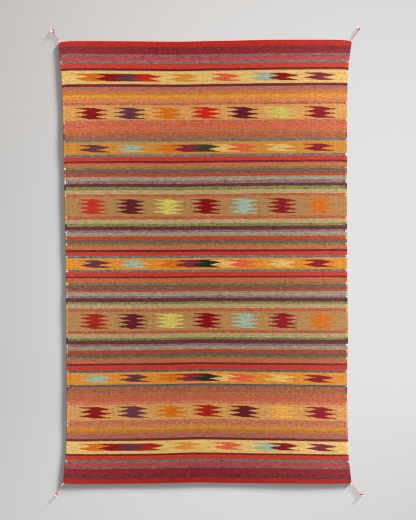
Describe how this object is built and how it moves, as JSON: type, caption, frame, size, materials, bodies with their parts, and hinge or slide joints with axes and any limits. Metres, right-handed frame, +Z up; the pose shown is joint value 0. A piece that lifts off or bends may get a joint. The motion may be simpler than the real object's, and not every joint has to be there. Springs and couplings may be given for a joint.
{
  "type": "wool blanket",
  "caption": "Hand-woven wool blanket laid flat, with narrow stripes, bands of serrated lozenges, corded ends and a small knotted tassel at each corner.",
  "frame": {"origin": "under the middle of the whole piece, tassels included, on the surface that it lies on", "axes": "+Z up out of the cloth's upper face, +Y along the length towards the upper end, +X across the width"},
  "size_m": [0.9824, 1.467, 0.0067],
  "materials": {
    "woven_wool": "matte weft-faced wool in heathered stripes of red, gold, terracotta, olive, grey and plum",
    "end_cord_wool": "matte vermilion wool, twisted",
    "tassel_wool": "matte wool, one red ply and one white ply"
  },
  "bodies": {
    "root": {"blanket_cloth": "woven_wool", "end_cord_top": "end_cord_wool", "end_cord_bottom": "end_cord_wool", "corner_tassel_top_left": "tassel_wool", "corner_tassel_top_right": "tassel_wool", "corner_tassel_bottom_left": "tassel_wool", "corner_tassel_bottom_right": "tassel_wool"}
  },
  "joints": []
}
